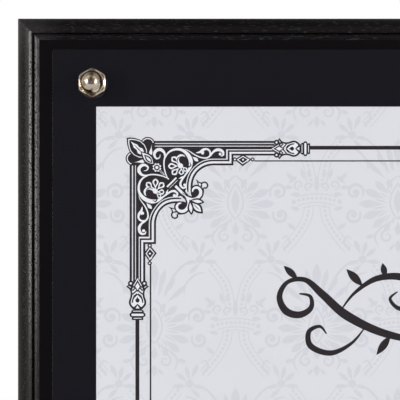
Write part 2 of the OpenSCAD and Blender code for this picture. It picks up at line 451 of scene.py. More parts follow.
def new_tree(name, inputs):
    """An empty geometry tree with inputs of the given kinds, and its inputs as wires by name."""
    tree = bpy.data.node_groups.new(name, "GeometryNodeTree")
    tree.interface.new_socket("Geometry", in_out="OUTPUT", socket_type="NodeSocketGeometry")
    for label, kind in inputs.items():
        tree.interface.new_socket(label, in_out="INPUT", socket_type=f"NodeSocket{kind}")
    first = Wire(tree).node("NodeGroupInput")
    return tree, {label: first.other(label) for label in inputs}


def end_tree(tree, instances, material):
    """The tree's last nodes: the instances made real, in the given material."""
    wire = Wire(tree)
    real = wire.node("GeometryNodeRealizeInstances", {}, {0: instances})
    coated = wire.node("GeometryNodeSetMaterial", {}, {"Geometry": real, "Material": material})
    wire.node("NodeGroupOutput", {}, {"Geometry": coated})
    return tree


def grown(name, tree, values):
    """The plain mesh that a geometry tree makes with these input values."""
    holder = in_scene(name, bpy.data.meshes.new(name))
    modifier = holder.modifiers.new(name, "NODES")
    modifier.node_group = tree
    for item in tree.interface.items_tree:
        if item.item_type == "SOCKET" and item.in_out == "INPUT":
            modifier[item.identifier] = values[item.name]
    graph = bpy.context.evaluated_depsgraph_get()
    mesh = bpy.data.meshes.new_from_object(holder.evaluated_get(graph), depsgraph=graph)
    holder.modifiers.remove(modifier)
    empty = holder.data
    holder.data = mesh
    bpy.data.meshes.remove(empty)
    mesh.name = name
    return holder


def screw_tree():
    """A screw at each end of a plate, reach from the plate's middle, each turned its own way."""
    tree, given = new_tree("plate_screw_rows", {
        "Screw": "Object", "Plate middle": "Vector", "Reach": "Float", "Along": "Vector",
        "Material": "Material",
    })
    wire = Wire(tree)
    screw = wire.node("GeometryNodeObjectInfo", {}, {"Object": given["Screw"]}, out="Geometry")
    step = given["Along"].scaled(given["Reach"])
    start = wire.node("ShaderNodeVectorMath", {"operation": "SUBTRACT"}, {0: given["Plate middle"], 1: step})
    places = wire.node("GeometryNodeMeshLine", {"mode": "OFFSET"}, {
        "Count": 2, "Start Location": start, "Offset": step.scaled(2.0),
    })
    turn = wire.node("FunctionNodeRandomValue", {"data_type": "FLOAT"}, {2: 0.0, 3: 1.5, "Seed": 4}, out=1)
    facing = wire.node("ShaderNodeCombineXYZ", {}, {"Y": turn})
    screws = wire.node("GeometryNodeInstanceOnPoints", {}, {
        "Points": places, "Instance": screw, "Rotation": facing,
    })
    return end_tree(tree, screws, given["Material"])


one_screw = cross_screw(zinc)
rows = screw_tree()
for plate, along in (("hanger_top", Vector((0, 0, 1))), ("hanger_side", Vector((1, 0, 0)))):
    low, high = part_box(plate)
    middle = (low + high) / 2
    middle.y = 0
    reach = (high - low).dot(along) / 2 - SCREW_EDGE * MM
    pair = grown(f"screws_of_{plate}", rows, {
        "Screw": one_screw, "Plate middle": middle, "Reach": reach, "Along": along, "Material": zinc,
    })
    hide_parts("hanger_screws")
    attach(pair, "board")
bpy.data.objects.remove(one_screw)

# Studs
# Four square-neck screws pressed in from the back before the plates go on; their threads stand out of the
# panel's face and carry the cover and the nuts. Zinc plated, with the rolled thread's crests worn bright.
STUD_DIAMETER = 4.17
STUD_PITCH = 25.4 / 32
ROWS_PER_TURN = 7
THREAD_DEPTH = 0.42
NECK_WIDTH = 4.4
NECK_LENGTH = 2.6
STUD_HEAD_WIDTH = 9.6
STUD_HEAD_THICK = 2.0
STUD_HEAD_SINK = 0.6
CORNERS = ("top_left", "top_right", "bottom_left", "bottom_right")


def stud_place(corner):
    """The x and z of a corner's stud, in millimetres."""
    low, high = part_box(f"stud_{corner}")
    return (low.x + high.x) / 2 / MM, (low.z + high.z) / 2 / MM


def make_stud(corner, material):
    base = STUD_HEAD_SINK + STUD_HEAD_THICK
    crown = STUD_HEAD_THICK * 0.55
    tip = -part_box(f"stud_{corner}")[0].y / MM
    radius = STUD_DIAMETER / 2

    def neck(a):
        """The square neck's reach, its corners broken."""
        return min(NECK_WIDTH / 2 / math.cos(off_quarter(a)), NECK_WIDTH * 0.66)

    levels = [(STUD_HEAD_SINK, POINTED), (STUD_HEAD_SINK, STUD_HEAD_WIDTH / 2 - crown)]
    for i in range(1, 7):
        turn = math.pi / 12 * i
        height = base - crown * (1 + math.cos(turn))
        levels.append((max(height, STUD_HEAD_SINK), STUD_HEAD_WIDTH / 2 - crown * (1 - math.sin(turn))))
    levels += [(base, STUD_HEAD_WIDTH / 2 - 0.05), (base, neck), (base + NECK_LENGTH - 0.2, neck),
               (base + NECK_LENGTH, radius - 0.25)]
    foot, end = base + NECK_LENGTH + 0.3, tip - 0.5
    for i in range(int((end - 0.05 - foot) / STUD_PITCH * ROWS_PER_TURN)):
        height = foot + i * STUD_PITCH / ROWS_PER_TURN
        fade = min(1.0, (height - foot) / STUD_PITCH, (end - height) / STUD_PITCH + 0.2)

        def thread(a, h=height, f=fade):
            wave = (h / STUD_PITCH - a / (2 * math.pi)) % 1
            crest = min(1.0, max(0.0, 1.32 - 2.64 * abs(wave - 0.5)))
            return radius - THREAD_DEPTH * (1 - crest * f)

        levels.append((height, thread))
    levels += [(tip - 0.4, radius - THREAD_DEPTH), (tip, radius - THREAD_DEPTH - 0.35), (tip, POINTED)]
    points, faces = revolved(levels, 48, *stud_place(corner))
    return make_piece(f"threaded_stud_{corner}", points, faces, material, sharp_over=50)


for corner in CORNERS:
    stud = make_stud(corner, zinc)
    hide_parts(f"stud_{corner}")
    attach(stud, "board")

# Certificate sheet
# A letter-size sheet of heavy paper lying sideways between panel and cover, held by the cover alone.
# The paper stays the frame's own solid; its prints are thin coats of ink on its face, made below.
def certificate_paper():
    material, place = new_finish("certificate_paper")
    fibre = place.noise(0.5, 5.0, (2.0, 1.0, 1.0))
    tone = (fibre * 0.5 + place.noise(26.0, 2.0) * 0.5).clipped()
    return finished(material, {
        "Base Color": tone.mixed(linear(220, 218, 221), linear(228, 226, 229)),
        "Roughness": (fibre * 0.12 + 0.62).clipped(),
        "Specular IOR Level": 0.3,
        "Normal": fibre.bumps(0.12, 0.01),
    })


wear("insert", certificate_paper())

# Certificate print
# Engraver's border in black, a damask ground in pale grey, and a pen flourish where a title would stand. All
# is drawn in mm right and down on the sheet, and each coat of ink lies a few microns over the one before.
SHEET_LOW, SHEET_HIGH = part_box("insert")
SHEET_WIDTH = (SHEET_HIGH.x - SHEET_LOW.x) / MM
SHEET_HEIGHT = (SHEET_HIGH.z - SHEET_LOW.z) / MM
SHEET_FACE = -SHEET_LOW.y / MM
FIRST_COAT = 0.004
COAT = 0.0085
STROKES = 48
STROKE_RISE = 0.9 / STROKES
BORDER_CORNER = (6.35, 6.41)
# Each rule's start along its arm, then how far in it lies and how wide it is on level and on upright arms
RULES = ((56.0, (5.62, 1.1), (5.7, 1.15)), (40.0, (9.49, 0.37), (9.55, 0.45)))
# On upright arms the outer band is wider, the drop lies further in, and the finial is larger
BAND_WIDER = 0.2
DROP_FURTHER = 0.35
FINIAL_SPOT = (45.01, 5.91)
UPRIGHT_FINIAL_SPOT = (5.75, 43.8)
UPRIGHT_FINIAL_GROWTH = (1.07, 1.089)
TITLE_LINE = 61.2
PALMETTE = (40.8, 28.8)
DAMASK_ACROSS = 47.6
DAMASK_DOWN = 36.45
RIBBON_REACH = 1.35
RIBBON_LINE = 0.29
RIBBON = (((-2.3, 36.9), (-2.9, 40.4), (-5.5, 44.9), (-9.4, 49.6)),
          ((-16.9, 54.4), (-20.4, 59.0), (-21.7, 63.0), (-22.3, 66.9)))
SQUARE_PITCH = 1.32
SQUARE_HALF = (0.42, 0.36)
CELLS = 8
EDGE_INSET = 0.01


def pen_sides(points, widths, smooth):
    """Both edges of a pen line through the points, as pairs; smooth is the number of steps between two."""
    points = [Vector(p) for p in points]
    last = len(points) - 1
    path = list(zip(points, widths))
    if smooth:
        path = []
        for i in range(last):
            a, b, c, d = (points[max(0, min(last, i + k))] for k in (-1, 0, 1, 2))
            for t in (s / smooth for s in range(smooth)):
                at = b * 2 + (c - a) * t + (a * 2 - b * 5 + c * 4 - d) * t ** 2
                at += (b * 3 - a - c * 3 + d) * t ** 3
                path.append((at / 2, widths[i] + (widths[i + 1] - widths[i]) * t))
        path.append((points[-1], widths[-1]))
    sides = []
    closed = (path[0][0] - path[-1][0]).length < 1e-6
    for i, (at, width) in enumerate(path):
        back = path[-2 if closed and i == 0 else max(i - 1, 0)][0]
        on = path[1 if closed and i == len(path) - 1 else min(i + 1, len(path) - 1)][0]
        ahead = ((at - back).normalized() + (on - at).normalized()).normalized()
        lean = (on - at if i == 0 else at - back).normalized().dot(ahead)
        across = Vector((-ahead.y, ahead.x)) * (width / 2 / max(lean, 0.5))
        sides.append((at + across, at - across))
    return sides


class Plate:
    """Flat shapes in one ink, each in a coat of its own height, in mm right and down on the sheet.

    They are drawn in steps of unit mm from start, and spread widens every disc, line and leaf.
    """

    def __init__(self, unit=1.0, start=(0.0, 0.0), spread=1.0):
        self.shapes = []
        self.unit = unit
        self.start = start
        self.spread = spread
        self.stroke = 0

    def area(self, outline, coat, stroke=None):
        """One shape; each stroke lies a hair over the last one, so that no two share a plane."""
        if stroke is None:
            self.stroke = stroke = (self.stroke + 1) % STROKES
        right, down = self.start
        points = [(right + p * self.unit, down + q * self.unit) for p, q in outline]
        self.shapes.append((points, coat + stroke * STROKE_RISE))

    def disc(self, at, radius, coat, sides=20):
        turns = [2 * math.pi * k / sides for k in range(sides)]
        radius *= self.spread
        self.area([(at[0] + radius * math.cos(a), at[1] + radius * math.sin(a)) for a in turns], coat)

    def line(self, points, widths, coat, smooth=7):
        """A pen line through the points, with one width or one for each point; smooth 0 keeps its corners."""
        if isinstance(widths, (int, float)):
            widths = [widths] * len(points)
        sides = pen_sides(points, [width * self.spread for width in widths], smooth)
        self.stroke = (self.stroke + 1) % STROKES
        for (a, b), (c, d) in zip(sides, sides[1:]):
            self.area([a, b, d, c], coat, self.stroke)

    def leaf(self, base, tip, width, coat, belly=0.5, steps=9):
        """A leaf or drop from base to tip, widest at the share belly of its length."""
        base, tip = Vector(base), Vector(tip)
        ahead = tip - base
        across = Vector((-ahead.y, ahead.x)).normalized() * (width / 2 * self.spread)
        power = math.log(0.5) / math.log(belly)
        rim = [(i / steps, math.sin(math.pi * (i / steps) ** power)) for i in range(steps + 1)]
        near = [base + ahead * t + across * s for t, s in rim]
        self.area(near + [base + ahead * t - across * s for t, s in rim[-2:0:-1]], coat)

    def added(self, other):
        self.shapes += other.shapes
        return self

    def moved(self, right, down):
        """The plate with its shapes moved on the sheet."""
        self.shapes = [([(right + p, down + q) for p, q in outline], coat) for outline, coat in self.shapes]
        return self

    def mirrored(self, flip):
        """The shapes and their images, each half a stroke higher; a shape on the mirror line has no image."""
        both = Plate()
        both.shapes += self.shapes
        for outline, coat in self.shapes:
            image = [flip(p, q) for p, q in outline]
            shift = math.hypot(*(sum(a[i] - b[i] for a, b in zip(image, outline)) for i in (0, 1)))
            if shift > 0.02 * len(outline):
                both.shapes.append((image, coat + STROKE_RISE / 2))
        return both


def corner_ornament():
    """Ink and knocked-out white of one corner, on a grid of 41 to the mm and halved by its diagonal."""
    ink, bare = Plate(1 / 41, spread=1.05), Plate(1 / 41, spread=0.9)
    across, down, arm_end = 1145, 690, 1882

    def hollow(radius, end, top):
        """A line along the hollow quarter round, then level to the step, up it, and along the arm."""
        turns = [math.pi / 2 * k / 12 for k in range(12, -1, -1)]
        bend = [(across - radius * math.sin(a), down - radius * math.cos(a)) for a in turns]
        return [(across - radius, 760)] + bend + [(end, down - radius), (end, top), (arm_end, top)]

    ink.area([(216, 216), (arm_end, 216)] + hollow(328, 1300, 250)[::-1] + [(800, 800)], 1)
    for y, width in ((161, 24), (195, 21)):
        ink.line([(430, y), (1880, y)], width, 1, 0)
    for plate, radius, end, top, width, coat in ((bare, 322, 1309, 256, 10, 2), (ink, 307, 1330, 270, 19, 1),
                                                 (bare, 285, 1352, 292, 22, 2), (ink, 259, 1376, 313, 22, 3)):
        plate.line(hollow(radius, end, top), width, coat, 0)

    # Curl at the border's corner and the stem that it grows from
    bare.line([(606, 614), (574, 545), (556, 470), (553, 400), (564, 335), (556, 290), (520, 256), (474, 256),
               (442, 290), (440, 330), (468, 362), (500, 346), (508, 312)],
              [10, 16, 18, 18, 20, 32, 42, 42, 40, 30, 20, 14, 6], 2)
    # Great scroll round its disc, ending in a small curl beside the hollow
    bare.line([(572, 356), (592, 305), (640, 266), (700, 250), (762, 256), (816, 288), (858, 342), (876, 404),
               (864, 472), (818, 546), (778, 602), (752, 652), (757, 694), (786, 714), (818, 700),
               (820, 676)],
              [6, 20, 28, 28, 34, 44, 54, 54, 38, 22, 24, 28, 30, 26, 20, 12], 2)
    bare.disc((804, 678), 20, 2)
    bare.leaf((728, 604), (800, 574), 24, 2, 0.55)
    ink.disc((702, 398), 128, 3, 40)
    ink.line([(862, 408), (876, 440), (852, 462), (820, 474)], [4, 14, 12, 8], 3)
    for base, tip, width in (((752, 440), (646, 342), 84), ((752, 450), (600, 452), 84),
                             ((752, 456), (650, 552), 84), ((762, 450), (762, 558), 74),
                             ((764, 446), (828, 512), 62)):
        bare.leaf(base, tip, width, 4, 0.74, 12)
        base, tip = Vector(base), Vector(tip)
        ink.leaf(base.lerp(tip, 0.42), base.lerp(tip, 0.88), width * 0.38, 5, 0.6)
    bare.disc((752, 448), 34, 4)
    bare.line([(748, 446), (716, 396), (720, 350), (752, 322), (790, 326), (812, 350)],
              [40, 44, 36, 28, 20, 6], 4)
    ink.disc((784, 378), 44, 5)
    ink.line([(724, 420), (712, 388), (722, 356), (745, 338)], [4, 10, 10, 4], 5)
    bare.leaf((892, 336), (966, 394), 44, 2, 0.62)
    # Long S scroll towards the step, with its comma leaves
    bare.line([(800, 250), (850, 266), (905, 304), (960, 334), (1020, 352), (1075, 350), (1112, 322),
               (1140, 286), (1182, 258), (1228, 258), (1262, 282), (1264, 318), (1236, 332)],
              [4, 10, 14, 16, 18, 20, 22, 26, 38, 38, 32, 22, 8], 2)
    bare.disc((1228, 306), 19, 2)
    bare.line([(938, 292), (985, 282), (1022, 256), (1062, 246), (1096, 262), (1110, 296), (1100, 334)],
              [4, 30, 34, 26, 24, 22, 12], 2)
    bare.disc((1018, 290), 24, 2)
    ink.disc((1062, 300), 28, 3)
    # Bars across the diagonal, and dots
    bare.line([(590, 702), (702, 590)], 22, 2, 0)
    bare.line([(622, 716), (716, 622)], 6, 2, 0)
    bare.disc((822, 748), 14, 2, 12)
    # Bud in the corner itself: outline, ring, dark leaf and its light heart
    bud = [(118, 122), (160, 118), (205, 124), (268, 143), (322, 190), (350, 250), (358, 312), (356, 356)]
    for plate, coat, share in ((ink, 3, 1.09), (bare, 4, 0.96), (ink, 5, 0.86)):
        half = [(245 + (x - 245) * share, 245 + (y - 245) * share) for x, y in bud]
        plate.area(half + [(y, x) for x, y in half[-2:0:-1]], coat)
    heart = [(154, 154), (196, 178), (228, 190), (258, 226), (298, 240), (318, 296), (322, 322)]
    bare.area(heart + [(y, x) for x, y in heart[-2:0:-1]], 6)
    ink.line([(196, 196), (250, 250), (290, 290)], [3, 11, 4], 7, 2)
    # Lobe behind it with a drop, then the second bud on the diagonal
    ink.disc((358, 188), 84, 1, 32)
    turns = [0.3 + 2.3 * k / 10 for k in range(11)]
    bare.line([(358 + 70 * math.cos(a), 190 - 70 * math.sin(a)) for a in turns], 13, 2, 0)
    bare.leaf((408, 172), (390, 330), 46, 2, 0.78)
    for plate, coat, base, tip, width in ((ink, 7, 270, 442, 116), (bare, 8, 286, 424, 90),
                                          (ink, 9, 312, 414, 60), (bare, 10, 332, 400, 32)):
        plate.leaf((base, base), (tip, tip), width, coat, 0.55, 12)
    # Flower and the thin triangle on the diagonal
    for k in range(8):
        a = math.pi / 4 * (k + 0.5)
        bare.disc((468 + 40 * math.cos(a), 468 + 40 * math.sin(a)), 15, 8, 12)
    for plate, radius, coat in ((bare, 42, 8), (ink, 33, 9), (bare, 21, 10)):
        plate.disc((468, 468), radius, coat)
    bare.line([(512, 500), (540, 530), (562, 562)], [4, 6, 4], 2)
    # Scroll that swings out over the sheet, with its eye
    arm = [(690, 690), (735, 735), (780, 782), (820, 822), (860, 842), (905, 850), (950, 836), (986, 802),
           (994, 756), (972, 718), (934, 708), (902, 730), (896, 762)]
    widths = [34, 34, 32, 30, 30, 34, 38, 42, 40, 36, 32, 26, 12]
    ink.line(arm, [v + 30 for v in widths], 3)
    ink.disc((930, 776), 52, 3)
    bare.line(arm, widths, 4)
    ink.line([(778, 768), (830, 808), (880, 820), (926, 808)], [4, 12, 14, 5], 5)
    # Small bud and hook above the scroll
    ink.area([(936, 604), (975, 640), (1012, 650), (1008, 690), (984, 722), (950, 712), (962, 676)], 3)
    bare.area([(966, 650), (1000, 666), (990, 694), (972, 678)], 4)
    hook = [(1004, 700), (1002, 668), (1028, 646), (1062, 652), (1078, 684), (1062, 714), (1030, 712)]
    ink.line(hook, 17, 3)
    bare.disc((1040, 682), 18, 4, 14)
    ink.line([(1026, 714), (1026, 762), (1010, 804), (984, 838)], [12, 15, 15, 10], 3)
    # Three pointed leaves at the diagonal's end
    for base, tip, width in (((862, 862), (1040, 886), 76), ((872, 872), (1022, 1022), 104)):
        ink.leaf(base, tip, width, 5, 0.55)
        base, tip = Vector(base), Vector(tip)
        bare.leaf(base.lerp(tip, 0.15), base.lerp(tip, 0.85), width - 34, 6, 0.55)
    ink.line([(905, 905), (945, 945), (975, 975)], [3, 9, 3], 7, 2)
    return ink, bare


def diamond_drop():
    """Ink and white of the drop of diamonds and beads under the step, on a grid of 53.3 to the mm."""
    start = (30.55, 0)
    ink, bare = Plate(1 / 53.3, start), Plate(1 / 53.3, start)
    for x, radius, heart in ((198, 33, 14), (412, 27, 12), (475, 31, 12)):
        ink.disc((x, 483), radius, 3)
        bare.disc((x, 483), heart, 6, 14)
    for plate, coat, reach, rise in ((ink, 3, 134, 102), (bare, 4, 98, 70), (ink, 5, 72, 52)):
        plate.area([(325 - reach, 486), (325, 486 - rise * 0.85), (325 + reach, 486), (320, 486 + rise)],
                   coat)
    bare.disc((325, 486), 15, 6, 14)
    bare.line([(352, 523), (408, 503)], 10, 6, 0)
    return ink, bare


def finial():
    """An arm's end: nose, leafy body and turned collar, on a grid of 108.2 to the mm, halved by its axis."""
    start = (44.09, 1.75)
    ink, bare = Plate(1 / 108.2, start), Plate(1 / 108.2, start)

    def flip(points):
        """The points on the other side of the axis, which lies at 450."""
        return [(x, 900 - y) for x, y in points]

    body = [(100, 450), (190, 330), (300, 330), (400, 190), (470, 232), (560, 250), (650, 238), (740, 203),
            (812, 190), (885, 206), (950, 252), (1004, 308), (1030, 450)]
    ink.area(body + flip(body)[-2:0:-1], 3)
    inside = [(384, 306), (480, 286), (560, 303), (652, 293), (748, 260), (812, 247), (866, 261), (916, 298),
              (945, 340), (850, 450)]
    bare.area(inside + flip(inside)[-2::-1], 4)
    bare.area([(894, 450), (985, 392), (985, 508)], 4)
    for half in (lambda points: points, flip):
        bead = half([(258, 250)])[0]
        ink.area(half([(280, 200), (352, 112), (386, 160), (430, 215), (420, 300), (320, 320)]), 3)
        ink.disc(bead, 84, 3)
        bare.disc(bead, 33, 6, 14)
        bare.line(half([(340, 188), (378, 250)]), 20, 6, 0)
        for a, b in (((395, 372), (470, 300)), ((470, 425), (575, 298)), ((560, 440), (640, 330))):
            ink.line(half([a, b]), 40, 5, 0)
        ink.line(half([(575, 450), (625, 380), (705, 318), (822, 294)]), [24, 46, 44, 34], 5)
    bare.line([(335, 332), (128, 450), (335, 568)], 26, 4, 0)
    ink.area([(160, 450), (345, 338), (510, 450), (345, 562)], 5)
    bare.area([(232, 450), (345, 384), (455, 450), (345, 516)], 6)
    ink.disc((752, 448), 62, 5)
    ink.leaf((640, 448), (790, 448), 70, 5, 0.6)

    # Collar of two plain rings and a round one between them
    ink.area([(1012, 318), (1050, 270), (1115, 256), (1115, 644), (1050, 630), (1012, 582)], 3)
    ink.area([(1235, 280), (1322, 280), (1322, 620), (1235, 620)], 3)
    bare.line([(1066, 316), (1066, 584)], 22, 4, 0)
    bare.line([(1272, 332), (1272, 568)], 20, 4, 0)
    for plate, wide, low, high, coat in ((ink, 126, 275, 625, 5), (bare, 66, 300, 600, 6)):
        plate.line([(1172, low), (1172, high)], wide, coat, 0)
        for y in (low, high):
            plate.disc((1172, y), wide / 2, coat)
    return ink, bare


def spiral(at, radius, turns, begin, hand):
    """Points of a curl that winds in towards its middle."""
    count = max(int(turns * 8), 3)
    points = []
    for k in range(count + 1):
        reach = radius * (1 - 0.8 * k / count)
        a = begin + hand * turns * 2 * math.pi * k / count
        points.append((at[0] + reach * math.cos(a), at[1] + reach * math.sin(a)))
    return points


def damask_motif():
    """One palmette with the crown below it, in mm from the palmette's middle; a tone on tone ground print."""
    tone = Plate()
    # Fan of long leaves round a pointed oval
    for angle, near, far, width in ((22, 4.5, 8.2, 1.7), (44, 4.2, 9.6, 2.1), (66, 4.0, 10.8, 2.3),
                                    (88, 4.0, 11.6, 2.4), (110, 4.0, 11.0, 2.3), (132, 4.2, 10.0, 2.1),
                                    (153, 4.6, 8.6, 1.6)):
        a = math.radians(angle)
        tip = (far * math.sin(a), -far * math.cos(a))
        tone.leaf((near * math.sin(a) * 0.9, -near * math.cos(a)), tip, width, 0, 0.66, 7)
        tone.leaf((near * 0.75 * math.sin(a + 0.18), -near * 0.75 * math.cos(a + 0.18)),
                  (far * 0.66 * math.sin(a + 0.18), -far * 0.66 * math.cos(a + 0.18)), 0.6, 0, 0.6, 4)
    tone.line([(0, -6.4), (1.7, -3.4), (2.3, -0.6), (1.5, 2.2), (0, 4.2)], 0.5, 0, 3)
    tone.leaf((0, 2.6), (0, -4.6), 2.4, 0, 0.5, 7)
    tone.line([(0, -8.6), (2.3, -6.6), (3.4, -3.6)], [0.3, 0.7, 0.3], 0, 3)
    # Tall plume above
    for x, y, top, width in ((0, -12.6, -19.4, 2.6), (2.6, -12.0, -17.6, 1.7), (5.0, -11.4, -15.2, 1.6),
                             (7.6, -9.6, -13.0, 1.5)):
        tone.leaf((x * 0.45, y + 2.0), (x * 1.25, top), width, 0, 0.62, 7)
    tone.leaf((1.0, -9.8), (2.4, -12.6), 0.9, 0, 0.5, 4)
    # Side scrolls, lower scrolls and the drop between them
    for middle, radius, begin, hand in (((12.6, -3.8), 2.7, 150, 1), ((13.2, 3.0), 2.4, 210, -1)):
        tone.line(spiral(middle, radius, 1.35, math.radians(begin), hand),
                  [0.5, 0.7, 0.9, 0.9, 0.9, 0.8, 0.8, 0.7, 0.6, 0.5, 0.4], 0, 3)
    tone.disc((12.6, -3.8), 0.75, 0, 8)
    tone.disc((13.2, 3.0), 0.7, 0, 8)
    for x, y, tip in ((15.2, -6.2, (18.0, -8.4)), (15.9, -3.0, (19.0, -3.2)), (15.9, 0.6, (18.8, 1.4)),
                      (15.0, 5.2, (17.6, 7.2))):
        tone.leaf((x, y), tip, 1.3, 0, 0.6, 5)
    tone.line(spiral((3.2, 9.2), 2.0, 1.25, math.radians(250), 1),
              [0.4, 0.6, 0.7, 0.7, 0.7, 0.6, 0.6, 0.5, 0.4, 0.3, 0.3], 0, 3)
    tone.line([(1.2, 4.6), (4.6, 6.4), (6.8, 9.2), (5.8, 12.0)], [0.3, 0.6, 0.7, 0.3], 0, 3)
    tone.leaf((6.4, 8.8), (9.4, 9.6), 1.3, 0, 0.6, 5)
    tone.leaf((0, 4.8), (0, 8.8), 1.9, 0, 0.62, 7)
    tone.leaf((0, 10.4), (0, 13.8), 1.8, 0, 0.45, 7)
    tone.leaf((1.1, 11.6), (2.6, 13.4), 1.0, 0, 0.5, 4)
    # Crown: a band of squares between two lines, with curls and leaves above it
    for rise, reach, width in ((-1.5, 6.0, 0.36), (1.0, 5.4, 0.36), (1.9, 3.9, 0.28)):
        tone.line([(reach * s, 34.7 + rise + 0.9 * s * s) for s in (0, 0.35, 0.7, 1)], width, 0, 3)
    for k in range(5):
        x = k * 1.3
        tone.disc((x, 34.45 + 0.022 * x * x), 0.56, 0, 4)
    tone.leaf((0, 32.6), (0, 27.6), 1.5, 0, 0.4, 6)
    for middle, radius in (((2.3, 31.0), 1.35), ((5.2, 30.6), 1.55)):
        tone.line(spiral(middle, radius, 1.2, math.pi / 2, -1),
                  [0.4, 0.5, 0.6, 0.6, 0.6, 0.5, 0.5, 0.4, 0.4, 0.3], 0, 2)
    for base, tip in (((3.6, 29.0), (4.6, 25.6)), ((6.6, 29.2), (9.0, 27.0)), ((6.8, 31.4), (9.6, 31.2)),
                      ((2.2, 28.6), (2.4, 26.0))):
        tone.leaf(base, tip, 1.2, 0, 0.5, 5)
    tone.disc((6.7, 35.5), 0.7, 0, 8)
    # Leaf tufts that the two stretches of ribbon grow from
    for base, tip, width in (((13.0, 51.0), (11.0, 46.6), 1.5), ((13.4, 51.6), (14.6, 47.2), 1.4),
                             ((14.0, 52.0), (17.4, 49.2), 1.4), ((14.0, 53.0), (18.6, 53.2), 1.4),
                             ((13.4, 53.6), (10.2, 56.6), 1.3), ((12.8, 52.6), (8.8, 53.8), 1.2)):
        tone.leaf(base, tip, width, 0, 0.6, 5)
    tone.disc((13.4, 52.4), 1.2, 0, 10)
    tone.line([(9.8, 49.4), (8.0, 47.4), (8.9, 45.6), (10.2, 46.4)], [0.7, 0.6, 0.5, 0.3], 0, 3)
    # Long plain tendrils beside the ribbon's lower stretch
    tone.line([(12.4, 53.8), (10.0, 53.2), (7.0, 55.6), (4.6, 59.2), (3.2, 63.4)], [0.3, 0.6, 0.7, 0.6, 0.3],
              0, 3)
    tone.line([(14.6, 56.2), (11.8, 57.0), (9.2, 59.8), (8.8, 62.6)], [0.3, 0.6, 0.6, 0.3], 0, 3)
    return tone.mirrored(lambda p, q: (-p, q))


def flourish():
    """A symmetric pen flourish, in mm from its middle, with about the weight of a title in its place."""
    ink = Plate()
    # Long stem that dips from the middle and ends in the great curl
    ink.line([(-5, 3.6), (-20, 6.8), (-38, 8.0), (-54, 5.6), (-66, 0.2), (-73.4, -6.2), (-78.4, -10.4),
              (-83.6, -9.8), (-86.0, -5.6), (-84.2, -1.4), (-80.2, -0.2), (-76.8, -2.2), (-77.0, -5.6),
              (-80.2, -6.4)],
             [0.3, 0.7, 1.3, 2.2, 2.7, 2.3, 1.5, 1.2, 1.7, 2.2, 2.0, 1.5, 1.0, 0.4], 1, 12)
    # Curls above the stem, then below it
    for path, pen in ((((-68.0, -1.6), (-64, -6.6), (-57.6, -10.8), (-50, -11.2), (-45.2, -7.6),
                        (-46.4, -3.2), (-50.8, -2.0), (-53.6, -4.8), (-51.4, -7.0)),
                       (0.3, 0.9, 1.7, 2.2, 2.1, 1.7, 1.3, 0.9, 0.3)),
                      (((-47, 7.0), (-40, 0.8), (-31.6, -5.6), (-23, -7.2), (-17.8, -3.9), (-19.2, 0.2),
                        (-23.2, 0.8), (-25.0, -1.8), (-22.8, -3.4)),
                       (0.3, 0.8, 1.4, 1.9, 1.8, 1.5, 1.1, 0.8, 0.3)),
                      (((-61, 3.6), (-65, 8.2), (-71, 11.0), (-76.8, 9.0), (-77.4, 4.8), (-74.2, 3.2),
                        (-72.2, 5.4)),
                       (0.3, 0.9, 1.6, 1.8, 1.4, 0.9, 0.3)),
                      (((-33, 8.0), (-28, 11.4), (-21, 12.2), (-16.2, 9.4), (-17.6, 6.2), (-20.6, 6.8)),
                       (0.3, 0.8, 1.3, 1.4, 1.0, 0.3)),
                      (((-15.6, -9.6), (-9.8, -7.0), (-4.6, -2.4), (-1.4, 2.8)), (0.4, 0.9, 1.2, 0.4))):
        ink.line(path, pen, 2, 10)
    for base, tip, width in (((-61.6, -8.6), (-66.4, -13.6), 2.4), ((-55.0, -11.2), (-55.8, -15.4), 1.9),
                             ((-35.4, -2.8), (-40.6, -7.8), 2.2), ((-29.4, -6.2), (-31.6, -10.8), 1.8),
                             ((-53.4, 5.8), (-57.6, 11.6), 2.2), ((-44.4, 7.6), (-44.8, 12.8), 1.9),
                             ((-80.6, -10.6), (-84.8, -14.6), 2.0), ((-10.2, -7.0), (-12.0, -12.0), 1.8)):
        ink.leaf(base, tip, width, 3, 0.5)
    ink.disc((-16.6, -9.8), 0.9, 1)
    # Middle: a leaf bud between two side leaves, over three dots
    ink.leaf((0, 1.4), (0, -12.0), 3.8, 1, 0.42)
    ink.leaf((-1.7, 1.2), (-6.2, -8.4), 2.0, 2, 0.55)
    for y, radius in ((4.6, 1.1), (7.6, 0.8), (10.0, 0.55)):
        ink.disc((0, y), radius, 1)
    return ink.mirrored(lambda p, q: (-p, q))


def ink_finish(name, low, high, roughness):
    material, place = new_finish(name)
    mottle = place.noise(0.7, 4.0)
    return finished(material, {
        "Base Color": mottle.mixed(low, high),
        "Roughness": (mottle * 0.2 + roughness).clipped(),
        "Specular IOR Level": 0.3,
    })


def laid(name, plate, material, place):
    """The plate's shapes as one mesh, each at its coat's height; place gives a shape's point in the frame."""
    points, faces = [], []
    for outline, coat in plate.shapes:
        spots = [place(p, q) for p, q in outline]
        turn = sum(a[0] * b[1] - b[0] * a[1] for a, b in zip(spots, spots[1:] + spots[:1]))
        face = tuple(range(len(points), len(points) + len(spots)))
        faces.append(face if turn > 0 else face[::-1])
        points += [plan(x, z, SHEET_FACE + FIRST_COAT + COAT * coat) for x, z in spots]
    mesh = bpy.data.meshes.new(name)
    mesh.from_pydata(points, [], faces)
    return smoothed(name, mesh, material, sharp_over=35)


def on_sheet(p, q):
    """A place on the sheet, from its upper left corner, in the plaque's plan."""
    return SHEET_LOW.x / MM + p, SHEET_HIGH.z / MM - q


def printed(piece):
    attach(piece, "certificate")


def reached(value, none, full):
    """How far the value has come from none, which gives 0, to full, which gives 1."""
    return min(max((value - none) / (full - none), 0), 1)


